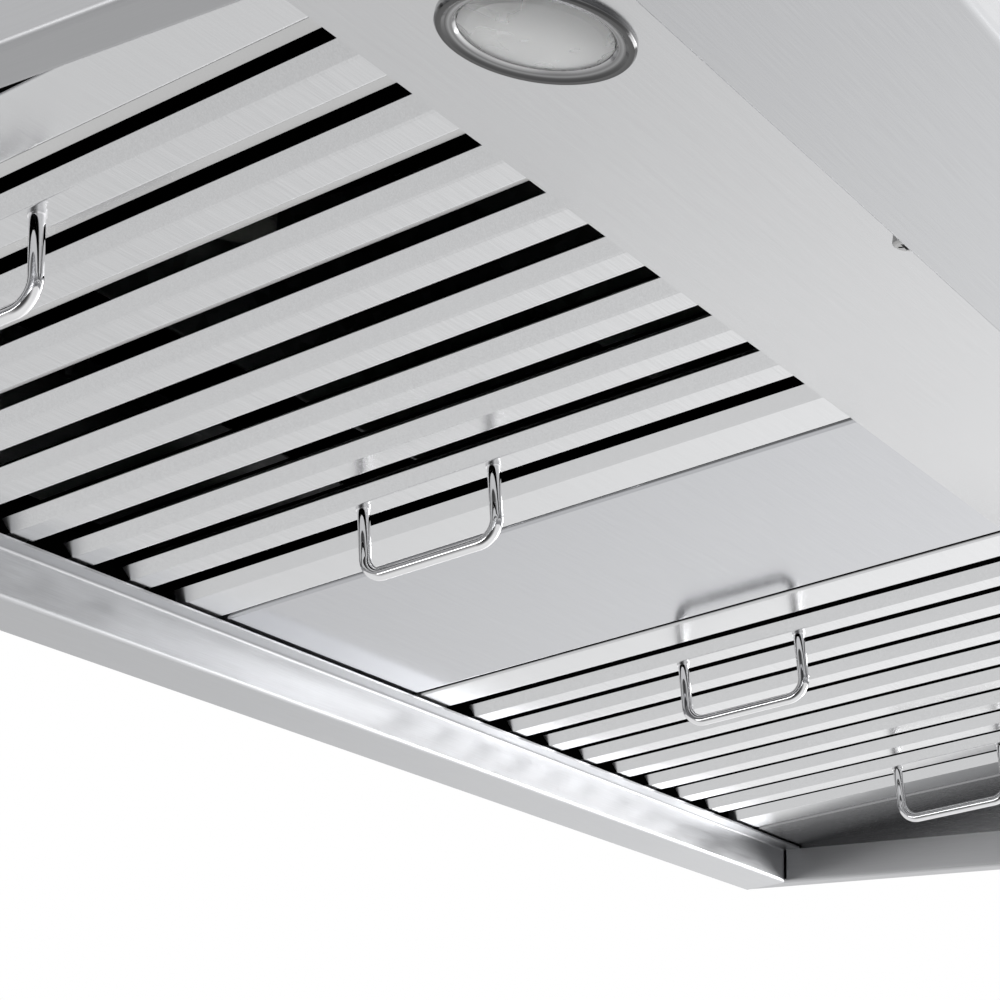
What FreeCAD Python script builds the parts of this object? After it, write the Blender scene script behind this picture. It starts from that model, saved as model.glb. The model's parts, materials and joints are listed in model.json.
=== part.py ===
import FreeCAD, Part
import math
import os
from FreeCAD import Placement, Rotation, Vector

# Range hood insert. Millimetres, +Z up, +X along the width, +Y towards the wall.
# The origin is the centre of the bottom rim, which is the plane that the insert stands on.

# Shell of folded sheet
overall_width = 1012.0
overall_depth = 547.0
wall_height = 130.0
sheet = 1.0
bend_radius = 1.2
side_rim = 15.0
rear_rim = 36.8
front_rim = 62.2
rim_height = 21.0
rear_ledge = 10.6
top_lip = 18.0
corner_seam = 1.2
corner_notch = 9.0
lap_depth = 11.0
fit_gap = 0.3
seat_gap = 0.1

# Filters, blank panel and side fillers lie in one plane that falls towards the rear
filter_slope = 6.5
filter_rear_gap = 0.9
filter_front_overlap = 8.0
blank_width = 146.8
filter_gap = 2.2
side_filler_width = 57.2
slot_count = 9
slat_flat = 12.3
filter_border = 24.85
baffle_sheet = 0.8
slat_flange_run = 5.4
slat_flange_rise = 4.6
slat_flange_trim = 10.5
upper_baffle_height = 19.0
frame_lip = 8.0
frame_end_lip = 5.0
panel_upstand = 12.0

# Wire handles
handle_length = 63.4
handle_rod = 5.2
handle_drop = 30.6
handle_bend = 8.8
handle_foot = 6.2
handle_foot_height = 0.8
handle_offset_x = -1.5
handle_offset_y = 2.3

# Lamp panel and lamps
lamp_slope = 9.6
lamp_panel_rear = 187.8
lamp_spacing = 765.6
lamp_setback = 57.2
lamp_hole = 46.2
lamp_bezel = 54.0
lamp_bezel_height = 1.6
lamp_glass = 42.0
lamp_glass_bevel = 2.4
lamp_glass_depth = 0.9
lamp_glass_crown = 2.2
lamp_barrel_height = 15.0
lamp_body_height = 34.0
lamp_wall = 1.2
lamp_bezel_section = [(0, 0), (0, 0.55), (0.1, 1), (0.36, 1), (0.5, 0.7), (0.86, 0.5), (1, 0)]
reflector_floor = 26.0
reflector_depth = 7.0
lamp_fin_pitch = 3.6
front_return = 38.0
lamp_screw_line = 31.4
lamp_screw_inner = 236.6
lamp_screw_outer = 430.0

# Push buttons
button_names = ["power", "light", "speed_down", "speed_up"]
button_pitch = 34.0
button_size = 14.0
button_proud = 2.4
button_edge = 0.7
button_travel = 1.5
button_flange = 1.4
button_flange_width = 2.2
button_stem = 5.0
button_stem_height = 7.0
button_clearance = 0.3
switch_size = 6.0
switch_height = 3.0
board_sheet = 1.6
control_width = 156.0
control_depth = 44.0
control_wall = 1.6
control_height = 26.0
control_post = 6.4

# Motor box on the top panels
box_width = 430.0
box_depth = 330.0
box_height = 200.0
box_centre_y = 40.0
box_flange = 16.0

# Blower
blower_offset = -62.0
blower_drop = 115.0
wheel_diameter = 160.0
wheel_width = 120.0
blade_depth = 13.0
blade_count = 36
blade_sheet = 0.8
blade_lead = 11.0
blade_bulge = 2.4
wheel_plate = 1.5
hub_diameter = 26.0
hub_length = 32.0
shaft_diameter = 8.0
shaft_clearance = 0.05
volute_clearance = 8.0
volute_growth = 12.0
scroll_side_clearance = 10.0
inlet_throat = 122.0
inlet_bell_depth = 13.0
inlet_bell_flare = 6.0
scroll_flange = 14.0
motor_diameter = 92.0
motor_length = 70.0
motor_gap = 6.0
motor_bush_diameter = 14.0
motor_bush_count = 4
motor_bush_circle = 68.0
motor_edge = 3.0
end_bell_length = 16.0
end_bell_diameter = 75.4
end_bell_edge = 4.0
vent_count = 8
vent_diameter = 8.0
vent_circle = 51.4
capacitor_diameter = 35.0
capacitor_length = 62.0
capacitor_edge = 1.5
capacitor_x = -129.0

# Duct collar and its damper
duct_diameter = 149.2
collar_sheet = 1.0
collar_height = 52.0
collar_flange = 13.0
gasket_thickness = 3.0
damper_height = 20.0
damper_pin = 5.0
damper_knuckle = 8.2
damper_sheet = 1.2
damper_rim_gap = 1.0
damper_hinge_gap = 4.8
damper_knuckle_length = 16.0
front_knuckle_places = (-2.5, 0.5)
rear_knuckle_places = (-0.5, 2.5)
damper_seat = 3.0
damper_clearance = 0.3

# Junction box and its cable gland
junction_length = 110.0
junction_depth = 70.0
junction_height = 45.0
junction_x = 296.0
junction_y = 60.0
knockout_diameter = 22.2
gland_bore = 10.0
gland_head = 16.0
gland_nut = 28.0
gland_edge = 2.0
cover_skirt = 6.0

# Screws and their holes
screw_diameter = 4.0
screw_head = 8.0
screw_head_height = 2.4
screw_length = 9.0
screw_edge = 1.1
screw_recess = 4.4
screw_recess_width = 1.0
screw_recess_depth = 1.2
screw_hole_clearance = 0.1
lip_screw_count = 4
lip_screw_pitch = 293.5
side_lip_screw_pitch = 218.8
flange_screw_share = 0.6
box_screw_share = 0.6
collar_screw_count = 4
wall_hole_diameter = 5.2
wall_hole_spacing_y = 380.0
wall_hole_spacing_z = 60.0
wall_hole_height = 75.0

# Places worked out from the sizes above
outer_x = overall_width / 2
inner_x = outer_x - side_rim
outer_y = overall_depth / 2
rear_inner_y = outer_y - rear_rim
front_inner_y = front_rim - outer_y
ledge_y = rear_inner_y - rear_ledge
ledge_top = rim_height + sheet
wedge_x = inner_x + sheet
pivot_y = rear_inner_y - filter_rear_gap
filter_tilt = math.radians(filter_slope)
lamp_tilt = math.radians(lamp_slope)
lamp_rear_y = lamp_panel_rear - outer_y
lamp_rear_z = (ledge_top + (pivot_y - lamp_rear_y) * math.tan(filter_tilt)
               - sheet / math.cos(lamp_tilt) - seat_gap)
lamp_panel_front_y = front_inner_y + bend_radius + fit_gap
lamp_panel_length = (lamp_rear_y - lamp_panel_front_y) / math.cos(lamp_tilt)
filter_length = (pivot_y - lamp_rear_y) / math.cos(filter_tilt) + filter_front_overlap
filter_inner_x = blank_width / 2 + filter_gap
filter_outer_x = inner_x - side_filler_width - filter_gap
filter_width = filter_outer_x - filter_inner_x
filter_half = filter_width / 2
filter_centre_x = (filter_inner_x + filter_outer_x) / 2
slat_pitch = (filter_width - 2 * filter_border + slat_flat) / slot_count
slot_width = slat_pitch - slat_flat
frame_height = upper_baffle_height + 3 * baffle_sheet
filter_place = Placement(Vector(0, pivot_y, ledge_top), Rotation(Vector(1, 0, 0), -filter_slope))
lamp_place = Placement(Vector(0, lamp_rear_y, lamp_rear_z), Rotation(Vector(1, 0, 0), lamp_slope))
panel_top = wall_height + sheet
box_front_y = box_centre_y - box_depth / 2
box_rear_y = box_centre_y + box_depth / 2
box_top = panel_top + box_height
wheel_y = box_centre_y + blower_offset
wheel_z = box_top - blower_drop
wheel_radius = wheel_diameter / 2
volute_radius = wheel_radius + volute_clearance
scroll_half = wheel_width / 2 + scroll_side_clearance
duct_radius = duct_diameter / 2
duct_inner = duct_radius - collar_sheet
collar_base = box_top + sheet + gasket_thickness
damper_z = collar_base + damper_height


# ---------- shape helpers ----------
def save(name, *solids):
    """Write one node, as one solid or as a group of separate solids."""
    shape = solids[0] if len(solids) == 1 else Part.makeCompound(list(solids))
    shape.exportStep("parts/" + name + ".step")


def block(x0, x1, y0, y1, z0, z1):
    return Part.makeBox(x1 - x0, y1 - y0, z1 - z0, Vector(x0, y0, z0))


def rod(radius, start, end):
    along = Vector(*end) - Vector(*start)
    return Part.makeCylinder(radius, along.Length, Vector(*start), along)


def tube(outer, inner, start, end):
    return rod(outer, start, end).cut(rod(inner, start, end))


def fused(solids):
    """The solids joined, with faces that lie in one plane merged."""
    return solids[0].multiFuse(solids[1:]).removeSplitter()


def mirrored_x(shape):
    return shape.mirror(Vector(0, 0, 0), Vector(1, 0, 0))


def placed(shape, placement):
    moved = shape.copy()
    moved.Placement = placement.multiply(moved.Placement)
    return moved


def unit(a, b):
    length = math.dist(a, b)
    return (b[0] - a[0]) / length, (b[1] - a[1]) / length


def turn_at(points, i):
    """The signed turn at a point of a path, positive to the left."""
    before = unit(points[i - 1], points[i])
    after = unit(points[i], points[(i + 1) % len(points)])
    return math.atan2(before[0] * after[1] - before[1] * after[0],
                      before[0] * after[0] + before[1] * after[1])


def offset_path(path, distance):
    """The path moved to its left, with mitred corners."""
    moved = []
    for i, point in enumerate(path):
        before = unit(path[i - 1], point) if i > 0 else unit(point, path[1])
        after = unit(point, path[i + 1]) if i < len(path) - 1 else before
        normal = (-before[1] - after[1], before[0] + after[0])
        reach = distance / (1 + before[0] * after[0] + before[1] * after[1])
        moved.append((point[0] + normal[0] * reach, point[1] + normal[1] * reach))
    return moved


def rounded_face(points, radii, to_space):
    """A flat face with a rounded corner at each point whose radius isn't zero."""
    edges = []
    corners = []
    for i, point in enumerate(points):
        turn = turn_at(points, i)
        if radii[i] == 0 or abs(turn) < 1e-6:
            corners.append((point, None, point))
            continue
        cut = radii[i] * math.tan(abs(turn) / 2)
        before = unit(points[i - 1], point)
        after = unit(point, points[(i + 1) % len(points)])
        start = (point[0] - before[0] * cut, point[1] - before[1] * cut)
        end = (point[0] + after[0] * cut, point[1] + after[1] * cut)
        inward = unit(point, ((start[0] + end[0]) / 2, (start[1] + end[1]) / 2))
        depth = radii[i] / math.cos(turn / 2) - radii[i]
        corners.append((start, (point[0] + inward[0] * depth, point[1] + inward[1] * depth), end))
    last = corners[-1][2]
    for start, middle, end in corners:
        if math.dist(last, start) > 1e-6:
            edges.append(Part.LineSegment(to_space(*last), to_space(*start)).toShape())
        if middle:
            edges.append(Part.Arc(to_space(*start), to_space(*middle), to_space(*end)).toShape())
        last = end
    return Part.Face(Part.Wire(edges))


def folded_sheet(path, thickness, bend, to_space, along):
    """A sheet folded along a path. The path is its skin, and the sheet lies to the path's left."""
    other = offset_path(path, thickness)
    radii = [0.0]
    other_radii = [0.0]
    for i in range(1, len(path) - 1):
        left_turn = turn_at(path, i) > 0
        radii.append(bend + thickness if left_turn else bend)
        other_radii.append(bend if left_turn else bend + thickness)
    radii.append(0.0)
    other_radii.append(0.0)
    face = rounded_face(path + other[::-1], radii + other_radii[::-1], to_space)
    return face.extrude(along)


def plan_prism(points, low, high):
    wire = Part.makePolygon([Vector(x, y, low) for x, y in points + points[:1]])
    return Part.Face(wire).extrude(Vector(0, 0, high - low))


def ring_points(count, radius, start_angle, centre):
    step = 2 * math.pi / count
    return [(centre[0] + radius * math.cos(start_angle + k * step),
             centre[1] + radius * math.sin(start_angle + k * step)) for k in range(count)]


# ---------- screws ----------
def screw(x, y, z, direction=1):
    """A pan head screw. Its head stands on the given point, and its shank goes the other way."""
    head = rod(screw_head / 2, (0, 0, 0), (0, 0, screw_head_height))
    head = head.makeFillet(screw_edge, [head.Edges[0]])
    shank = rod(screw_diameter / 2, (0, 0, sheet / 2), (0, 0, -screw_length))
    half = screw_recess / 2
    width = screw_recess_width / 2
    floor = screw_head_height - screw_recess_depth
    recess = block(-half, half, -width, width, floor, screw_head_height + 1)
    whole = fused([head, shank]).cut(recess).cut(recess.rotated(Vector(0, 0, 0), Vector(0, 0, 1), 90))
    if direction < 0:
        whole = whole.rotated(Vector(0, 0, 0), Vector(1, 0, 0), 180)
    return whole.translated(Vector(x, y, z))


def screw_hole(x, y, z, reach):
    radius = screw_diameter / 2 + screw_hole_clearance
    return rod(radius, (x, y, z - reach), (x, y, z + reach))


def with_holes(shape, holes):
    return shape.cut(Part.makeCompound(holes))


def lip_screw_places():
    """Where the top panels are screwed to the shells' top lips."""
    inset = top_lip / 2
    places = []
    for k in range(lip_screw_count):
        x = (k - (lip_screw_count - 1) / 2) * lip_screw_pitch
        places += [(x, outer_y - inset), (x, inset - outer_y)]
    for side in (-1, 1):
        for y in (-side_lip_screw_pitch / 2, side_lip_screw_pitch / 2):
            places.append((side * (outer_x - inset), y))
    return places


def box_screw_places():
    """Where the motor box is screwed to the top panels."""
    half = box_width / 2
    middle = box_flange * flange_screw_share
    x = half * box_screw_share
    y = box_depth / 2 * box_screw_share
    places = []
    for side in (-1, 1):
        places += [(side * x, box_front_y - middle), (side * x, box_rear_y + middle)]
        places += [(side * (half + middle), box_centre_y + k * y) for k in (-1, 1)]
    return places


def collar_screw_places():
    radius = duct_radius + collar_flange * flange_screw_share
    return ring_points(collar_screw_count, radius, math.pi / collar_screw_count, (0, box_centre_y))


def lamp_screw_places():
    """Across and along the lamp panel, in the panel's own frame."""
    along = (front_inner_y + lamp_screw_line - lamp_rear_y) / math.cos(lamp_tilt)
    return [(side * x, along) for side in (-1, 1) for x in (lamp_screw_inner, lamp_screw_outer)]


# ---------- shells ----------
def lamp_panel_z(y):
    """The height of the lamp panel's skin, where it faces down, at a place along the depth."""
    return lamp_rear_z + (y - lamp_rear_y) * math.tan(lamp_tilt)


def shell_walls():
    """The four folded shells: outer wall, bottom rim and inner face, mitred at the corners."""
    side_y = 2 * outer_y
    length = Vector(2 * outer_x, 0, 0)
    rear_path = [(ledge_y, rim_height), (rear_inner_y, rim_height), (rear_inner_y, 0), (outer_y, 0),
                 (outer_y, wall_height), (outer_y - top_lip, wall_height)]
    rear = folded_sheet(rear_path, sheet, bend_radius, lambda u, z: Vector(-outer_x, u, z), length)
    tip = front_inner_y + front_return
    lap = sheet / math.cos(lamp_tilt)
    front_path = [(-tip, lamp_panel_z(tip) + lap), (-front_inner_y, lamp_panel_z(front_inner_y) + lap),
                  (-front_inner_y, 0), (outer_y, 0), (outer_y, wall_height),
                  (outer_y - top_lip, wall_height)]
    front = folded_sheet(front_path, sheet, bend_radius, lambda u, z: Vector(-outer_x, -u, z), length)
    side_path = [(inner_x, rim_height), (inner_x, 0), (outer_x, 0), (outer_x, wall_height),
                 (outer_x - top_lip, wall_height)]
    side = folded_sheet(side_path, sheet, bend_radius, lambda u, z: Vector(u, -outer_y, z),
                        Vector(0, side_y, 0))
    lip_x = outer_x - top_lip
    rear_plan = [(-inner_x, 0), (inner_x, 0), (inner_x, rear_inner_y), (outer_x, outer_y),
                 (-outer_x, outer_y), (-inner_x, rear_inner_y)]
    front_plan = [(-inner_x, 0), (inner_x, 0), (inner_x, front_inner_y), (outer_x, -outer_y),
                  (-outer_x, -outer_y), (-inner_x, front_inner_y)]
    side_plan = [(lip_x, front_inner_y), (inner_x, front_inner_y), (outer_x, -outer_y),
                 (outer_x, outer_y), (inner_x, rear_inner_y), (lip_x, rear_inner_y)]
    rear = rear.common(plan_prism(rear_plan, 0, wall_height))
    front = front.common(plan_prism(front_plan, 0, wall_height))
    side = side.common(plan_prism(side_plan, 0, wall_height))
    seam_low = bend_radius + sheet
    for y0, y1 in ((rear_inner_y - corner_seam, rear_inner_y + sheet),
                   (front_inner_y - sheet, front_inner_y + corner_seam)):
        side = side.cut(block(inner_x - sheet, inner_x + 2 * sheet, y0, y1, seam_low, wall_height / 2))
    return front, rear, side


def make_shells():
    front, rear, side = shell_walls()
    holes = [screw_hole(x, y, wall_height, 2 * sheet) for x, y in lip_screw_places()]
    lamp_holes = [placed(screw_hole(x, v, 0, 8 * sheet), lamp_place) for x, v in lamp_screw_places()]
    wall_holes = []
    for k in (-1, 1):
        for m in (-1, 1):
            y = k * wall_hole_spacing_y / 2
            z = wall_hole_height + m * wall_hole_spacing_z / 2
            wall_holes.append(rod(wall_hole_diameter / 2, (outer_x - 4 * sheet, y, z),
                                  (outer_x + 4 * sheet, y, z)))
    save("front_shell", with_holes(front, holes + lamp_holes))
    save("rear_shell", with_holes(rear, holes))
    side = with_holes(side, holes + wall_holes)
    save("right_shell", side)
    save("left_shell", mirrored_x(side))


def make_top_panels():
    """Four flat panels that close the shell around the foot of the motor box."""
    half = box_width / 2
    low, high = wall_height, panel_top
    panels = [block(-outer_x, -half, -outer_y, outer_y, low, high),
              block(half, outer_x, -outer_y, outer_y, low, high),
              block(-half, half, -outer_y, box_front_y, low, high),
              block(-half, half, box_rear_y, outer_y, low, high)]
    places = lip_screw_places() + box_screw_places()
    holes = [screw_hole(x, y, wall_height, 2 * sheet) for x, y in places]
    save("top_panels", *[with_holes(panel, holes) for panel in panels])


# ---------- panels under the filters' plane ----------
def lapped_flange(corners):
    """A flange behind the right side rim's inner face, from its corners seen from the side."""
    wire = Part.makePolygon([Vector(wedge_x, y, z) for y, z in corners + corners[:1]])
    return Part.Face(wire).extrude(Vector(sheet, 0, 0))


def make_lamp_panel():
    """The sloped strip with the lamps and the buttons, with a flange down at each end."""
    half = wedge_x + sheet
    strip = block(-half, half, -lamp_panel_length, 0, 0, sheet)
    low = rim_height - lap_depth
    front = lamp_panel_front_y
    rear = lamp_rear_y - fit_gap
    end = lapped_flange([(front, low), (rear, low), (rear, lamp_panel_z(rear) + sheet / 2),
                         (front, lamp_panel_z(front) + sheet / 2)])
    panel = fused([placed(strip, lamp_place), end, mirrored_x(end)])
    cuts = [placed(screw_hole(x, v, 0, 3 * sheet), lamp_place) for x, v in lamp_screw_places()]
    for x in (-lamp_spacing / 2, lamp_spacing / 2):
        cuts.append(placed(rod(lamp_hole / 2, (x, -lamp_setback, -sheet), (x, -lamp_setback, 3 * sheet)),
                           lamp_place))
    for x in button_places():
        radius = button_size / 2 + button_clearance
        cuts.append(placed(rod(radius, (x, -lamp_setback, -sheet), (x, -lamp_setback, 3 * sheet)),
                           lamp_place))
    save("lamp_panel", with_holes(panel, cuts))


def make_blank_panel():
    half = blank_width / 2
    path = [(-half, panel_upstand), (-half, 0), (half, 0), (half, panel_upstand)]
    panel = folded_sheet(path, sheet, bend_radius, lambda x, n: Vector(x, -filter_length, n),
                         Vector(0, filter_length, 0))
    save("blank_panel", placed(panel, filter_place))


def make_side_fillers():
    """The strip beside each filter, with its wedge flange lapped behind the side rim."""
    inner = filter_outer_x + filter_gap
    path = [(inner, panel_upstand), (inner, 0), (wedge_x + sheet, 0)]
    strip = folded_sheet(path, sheet, bend_radius, lambda x, n: Vector(x, -filter_length, n),
                         Vector(0, filter_length, 0))
    rear = pivot_y - corner_notch
    front = lamp_rear_y + fit_gap
    low = rim_height - lap_depth
    fall = math.tan(filter_tilt)
    wedge = lapped_flange([(front, low), (rear, low),
                           (rear, ledge_top + (pivot_y - rear) * fall + sheet / 2),
                           (front, ledge_top + (pivot_y - front) * fall + sheet / 2)])
    filler = fused([placed(strip, filter_place), wedge])
    save("right_filler_panel", filler)
    save("left_filler_panel", mirrored_x(filler))


# ---------- filters ----------
def slat_centres():
    first = filter_border + slot_width + slat_flat / 2 - filter_half
    return [first + k * slat_pitch for k in range(slot_count - 1)]


def slot_centres():
    first = filter_border + slot_width / 2 - filter_half
    return [first + k * slat_pitch for k in range(slot_count)]


def filter_frame():
    """Two folded side members and two end channels that hold the baffles' ends."""
    t = baffle_sheet
    x0, x1 = -filter_half, filter_half
    sides = []
    for edge, inward in ((x0, 1), (x1, -1)):
        path = [(frame_lip, frame_height), (0, frame_height), (0, 0), (filter_border, 0),
                (filter_border + slat_flange_run, slat_flange_rise)]
        sides.append(folded_sheet(path, t, t, lambda u, n, e=edge, s=inward: Vector(e + s * u,
                                  -filter_length, n), Vector(0, filter_length, 0)))
    path = [(frame_lip, frame_height), (0, frame_height), (0, 0), (frame_end_lip, 0)]
    rear = folded_sheet(path, t, t, lambda u, n: Vector(x0 + t, -u, n), Vector(x1 - x0 - 2 * t, 0, 0))
    rear = rear.cut(sides[0]).cut(sides[1])
    rear = max(rear.Solids, key=lambda solid: solid.Volume)
    front = rear.mirror(Vector(0, -filter_length / 2, 0), Vector(0, 1, 0))
    return sides + [rear, front]


def lower_baffles():
    """Channels whose flats show from below, shorter than the tongues that rest on the frame's lips."""
    t = baffle_sheet
    reach = 2 * t + fit_gap
    solids = []
    for x in slat_centres():
        half = slat_flat / 2
        path = [(x - half - slat_flange_run, slat_flange_rise), (x - half, 0), (x + half, 0),
                (x + half + slat_flange_run, slat_flange_rise)]
        length = filter_length - slat_flange_trim - frame_end_lip - fit_gap
        channel = folded_sheet(path, t, t,
                               lambda u, n: Vector(u, -filter_length + frame_end_lip + fit_gap, n),
                               Vector(0, length, 0))
        tongue_half = half - t
        tongue = block(x - tongue_half, x + tongue_half, -filter_length + reach, -reach, t, 2 * t)
        solids.append(fused([channel, tongue]))
    return solids


def upper_baffles():
    """The same channel turned over, one above each slot."""
    t = baffle_sheet
    half = slat_flat / 2
    reach = 2 * t + fit_gap
    top = t + upper_baffle_height
    low = top - slat_flange_rise
    solids = []
    for x in slot_centres():
        path = [(x - half - slat_flange_run, low), (x - half, top), (x + half, top),
                (x + half + slat_flange_run, low)]
        solids.append(folded_sheet(path, t, t, lambda u, n: Vector(u, -filter_length + reach, n),
                                   Vector(0, filter_length - 2 * reach, 0)))
    return solids


def wire_handle(x):
    """A U of round wire with its feet welded to a baffle's flat."""
    middle = handle_offset_y - filter_length / 2
    half = handle_length / 2
    bottom = -handle_drop
    bend = handle_bend
    slant = bend * (1 - math.sqrt(0.5))
    near, far = middle - half, middle + half
    edges = [Part.LineSegment(Vector(x, near, 0), Vector(x, near, bottom + bend)),
             Part.Arc(Vector(x, near, bottom + bend), Vector(x, near + slant, bottom + slant),
                      Vector(x, near + bend, bottom)),
             Part.LineSegment(Vector(x, near + bend, bottom), Vector(x, far - bend, bottom)),
             Part.Arc(Vector(x, far - bend, bottom), Vector(x, far - slant, bottom + slant),
                      Vector(x, far, bottom + bend)),
             Part.LineSegment(Vector(x, far, bottom + bend), Vector(x, far, 0))]
    spine = Part.Wire([edge.toShape() for edge in edges])
    profile = Part.Wire(Part.makeCircle(handle_rod / 2, Vector(x, near, 0), Vector(0, 0, -1)))
    wire = spine.makePipeShell([profile], True, False)
    feet = [rod(handle_foot / 2, (x, v, -handle_foot_height), (x, v, 0)) for v in (near, far)]
    return fused([wire] + feet)


def make_filters():
    """Two identical filters, each built about its own middle and then put in its place."""
    centres = slat_centres()
    ends = [wire_handle(centre + handle_offset_x) for centre in (centres[0], centres[-1])]
    for side_name, side, outer, inner in (("left", -1, 0, 1), ("right", 1, 1, 0)):
        groups = {"frame": filter_frame(), "lower_baffles": lower_baffles(),
                  "upper_baffles": upper_baffles(), "outer_handle": [ends[outer]],
                  "inner_handle": [ends[inner]]}
        shift = Vector(side * filter_centre_x, 0, 0)
        for name, solids in groups.items():
            save(side_name + "_filter_" + name,
                 *[placed(solid.translated(shift), filter_place) for solid in solids])


# ---------- lamps ----------
def turned(profile, x):
    """A solid turned about the lamp's axis, from radius and height pairs."""
    wire = Part.makePolygon([Vector(r, 0, n) for r, n in profile + profile[:1]])
    solid = Part.Face(wire).revolve(Vector(0, 0, 0), Vector(0, 0, 1), 360)
    return placed(solid.translated(Vector(x, -lamp_setback, 0)), lamp_place)


def make_lamp(side_name, x):
    hole = lamp_hole / 2
    barrel = hole - button_clearance
    inner = barrel - lamp_wall
    edge = lamp_bezel / 2
    glass = lamp_glass / 2
    barrel_top = sheet + lamp_barrel_height
    seat = glass + fit_gap
    ring = edge - seat
    bezel = [(edge - ring * across, -lamp_bezel_height * down) for across, down in lamp_bezel_section]
    bezel += [(seat, lamp_wall), (inner, 2 * lamp_wall), (inner, barrel_top),
              (barrel, barrel_top), (barrel, 0)]
    save(side_name + "_lamp_bezel", turned(bezel, x))
    flat = glass - lamp_glass_bevel
    lens = [(0, -lamp_glass_depth), (flat, -lamp_glass_depth), (glass, 0), (glass, lamp_wall),
            (0, lamp_wall)]
    curve = (flat ** 2 + lamp_glass_crown ** 2) / (2 * lamp_glass_crown)
    dome = Part.makeSphere(curve, Vector(0, 0, curve - lamp_glass_depth - lamp_glass_crown))
    dome = dome.common(rod(flat, (0, 0, -lamp_glass_depth - lamp_glass_crown), (0, 0, 0)))
    dome = placed(dome.translated(Vector(x, -lamp_setback, 0)), lamp_place)
    save(side_name + "_lamp_lens", fused([turned(lens, x), dome]))
    low = 2 * lamp_wall + fit_gap
    rim = inner - fit_gap
    floor = reflector_floor / 2
    top = low + reflector_depth
    reflector = [(rim, low), (rim, low + lamp_wall), (floor, top), (0, top), (0, top - lamp_wall),
                 (floor - lamp_wall, top - lamp_wall), (rim - lamp_wall, low)]
    save(side_name + "_lamp_reflector", turned(reflector, x))
    can = hole + fit_gap
    wall = can + 2 * lamp_wall
    flange = edge + 2 * lamp_wall
    top = lamp_body_height
    body = [(can, sheet), (flange, sheet), (flange, sheet + 2 * lamp_wall), (wall, sheet + 2 * lamp_wall)]
    fin = flange - lamp_wall
    n = sheet + 4 * lamp_wall
    while n + lamp_fin_pitch < top:
        body += [(wall, n), (fin, n), (fin, n + lamp_wall), (wall, n + lamp_wall)]
        n += lamp_fin_pitch
    ceiling = barrel_top + fit_gap
    body += [(wall, top), (0, top), (0, ceiling), (can, ceiling)]
    save(side_name + "_lamp_body", turned(body, x))


# ---------- controls ----------
def button_places():
    count = len(button_names)
    return [(k - (count - 1) / 2) * button_pitch for k in range(count)]


def make_controls():
    flange_radius = button_size / 2 + button_flange_width
    seat = sheet + seat_gap
    flange_top = seat + button_flange
    stem_top = seat + button_stem_height
    switch_low = stem_top + button_travel + button_clearance
    board_low = switch_low + switch_height
    for name, x in zip(button_names, button_places()):
        cap = rod(button_size / 2, (x, -lamp_setback, -button_proud), (x, -lamp_setback, flange_top))
        cap = cap.makeFillet(button_edge, [cap.Edges[2]])
        collar = rod(flange_radius, (x, -lamp_setback, seat), (x, -lamp_setback, flange_top))
        stem = rod(button_stem / 2, (x, -lamp_setback, seat), (x, -lamp_setback, stem_top))
        save("button_" + name, placed(fused([cap, collar, stem]), lamp_place))
    half_x = control_width / 2
    half_y = control_depth / 2
    wall = control_wall
    board_x = half_x - wall - fit_gap
    board_y = half_y - wall - fit_gap
    board = [block(-board_x, board_x, -lamp_setback - board_y, -lamp_setback + board_y,
                   board_low, board_low + board_sheet)]
    for x in button_places():
        board.append(block(x - switch_size / 2, x + switch_size / 2, -lamp_setback - switch_size / 2,
                           -lamp_setback + switch_size / 2, switch_low, board_low))
    save("control_board", placed(fused(board), lamp_place))
    outer = block(-half_x, half_x, -lamp_setback - half_y, -lamp_setback + half_y, sheet, control_height)
    cavity = block(-half_x + wall, half_x - wall, -lamp_setback - half_y + wall,
                   -lamp_setback + half_y - wall, sheet, control_height - wall)
    post_x = board_x - control_post
    posts = [rod(control_post / 2, (x, -lamp_setback, board_low + board_sheet),
                 (x, -lamp_setback, control_height - wall / 2)) for x in (-post_x, post_x)]
    save("control_housing", placed(fused([outer.cut(cavity)] + posts), lamp_place))


# ---------- motor box ----------
def make_motor_box():
    half = box_width / 2
    base = panel_top
    screws = [screw_hole(x, y, base, 3 * sheet) for x, y in box_screw_places()]
    for name, wall_y, out in (("front", box_front_y, -1), ("rear", box_rear_y, 1)):
        path = [(0, box_top), (0, base), (box_flange, base)]
        wall = folded_sheet(path, sheet, bend_radius,
                            lambda u, z, y=wall_y, s=out: Vector(-half, y + s * u, z),
                            Vector(box_width, 0, 0))
        save("motor_box_" + name, with_holes(wall, screws))
    path = [(0, box_top), (0, base), (box_flange, base)]
    side = folded_sheet(path, sheet, bend_radius, lambda u, z: Vector(half + u, box_front_y, z),
                        Vector(0, box_depth, 0))
    side = with_holes(side, screws)
    save("motor_box_right", side)
    save("motor_box_left", mirrored_x(side))
    top = block(-half - sheet, half + sheet, box_front_y - sheet, box_rear_y + sheet,
                box_top, box_top + sheet)
    duct = rod(duct_inner, (0, box_centre_y, box_top - sheet), (0, box_centre_y, box_top + 2 * sheet))
    holes = [screw_hole(x, y, box_top, 3 * sheet) for x, y in collar_screw_places()]
    save("motor_box_top", with_holes(top, holes + [duct]))


# ---------- blower ----------
def in_scroll(u, v, x=0.0):
    """A point from the wheel's axis: u towards the rear, v up."""
    return Vector(x, wheel_y + u, wheel_z + v)


def volute_quarters():
    """Centre, radius and start angle of each quarter of the spiral."""
    r = volute_radius
    g = volute_growth
    return [((0, 0), r, 90), ((g, 0), r + g, 180), ((g, g), r + 2 * g, 270)]


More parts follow.
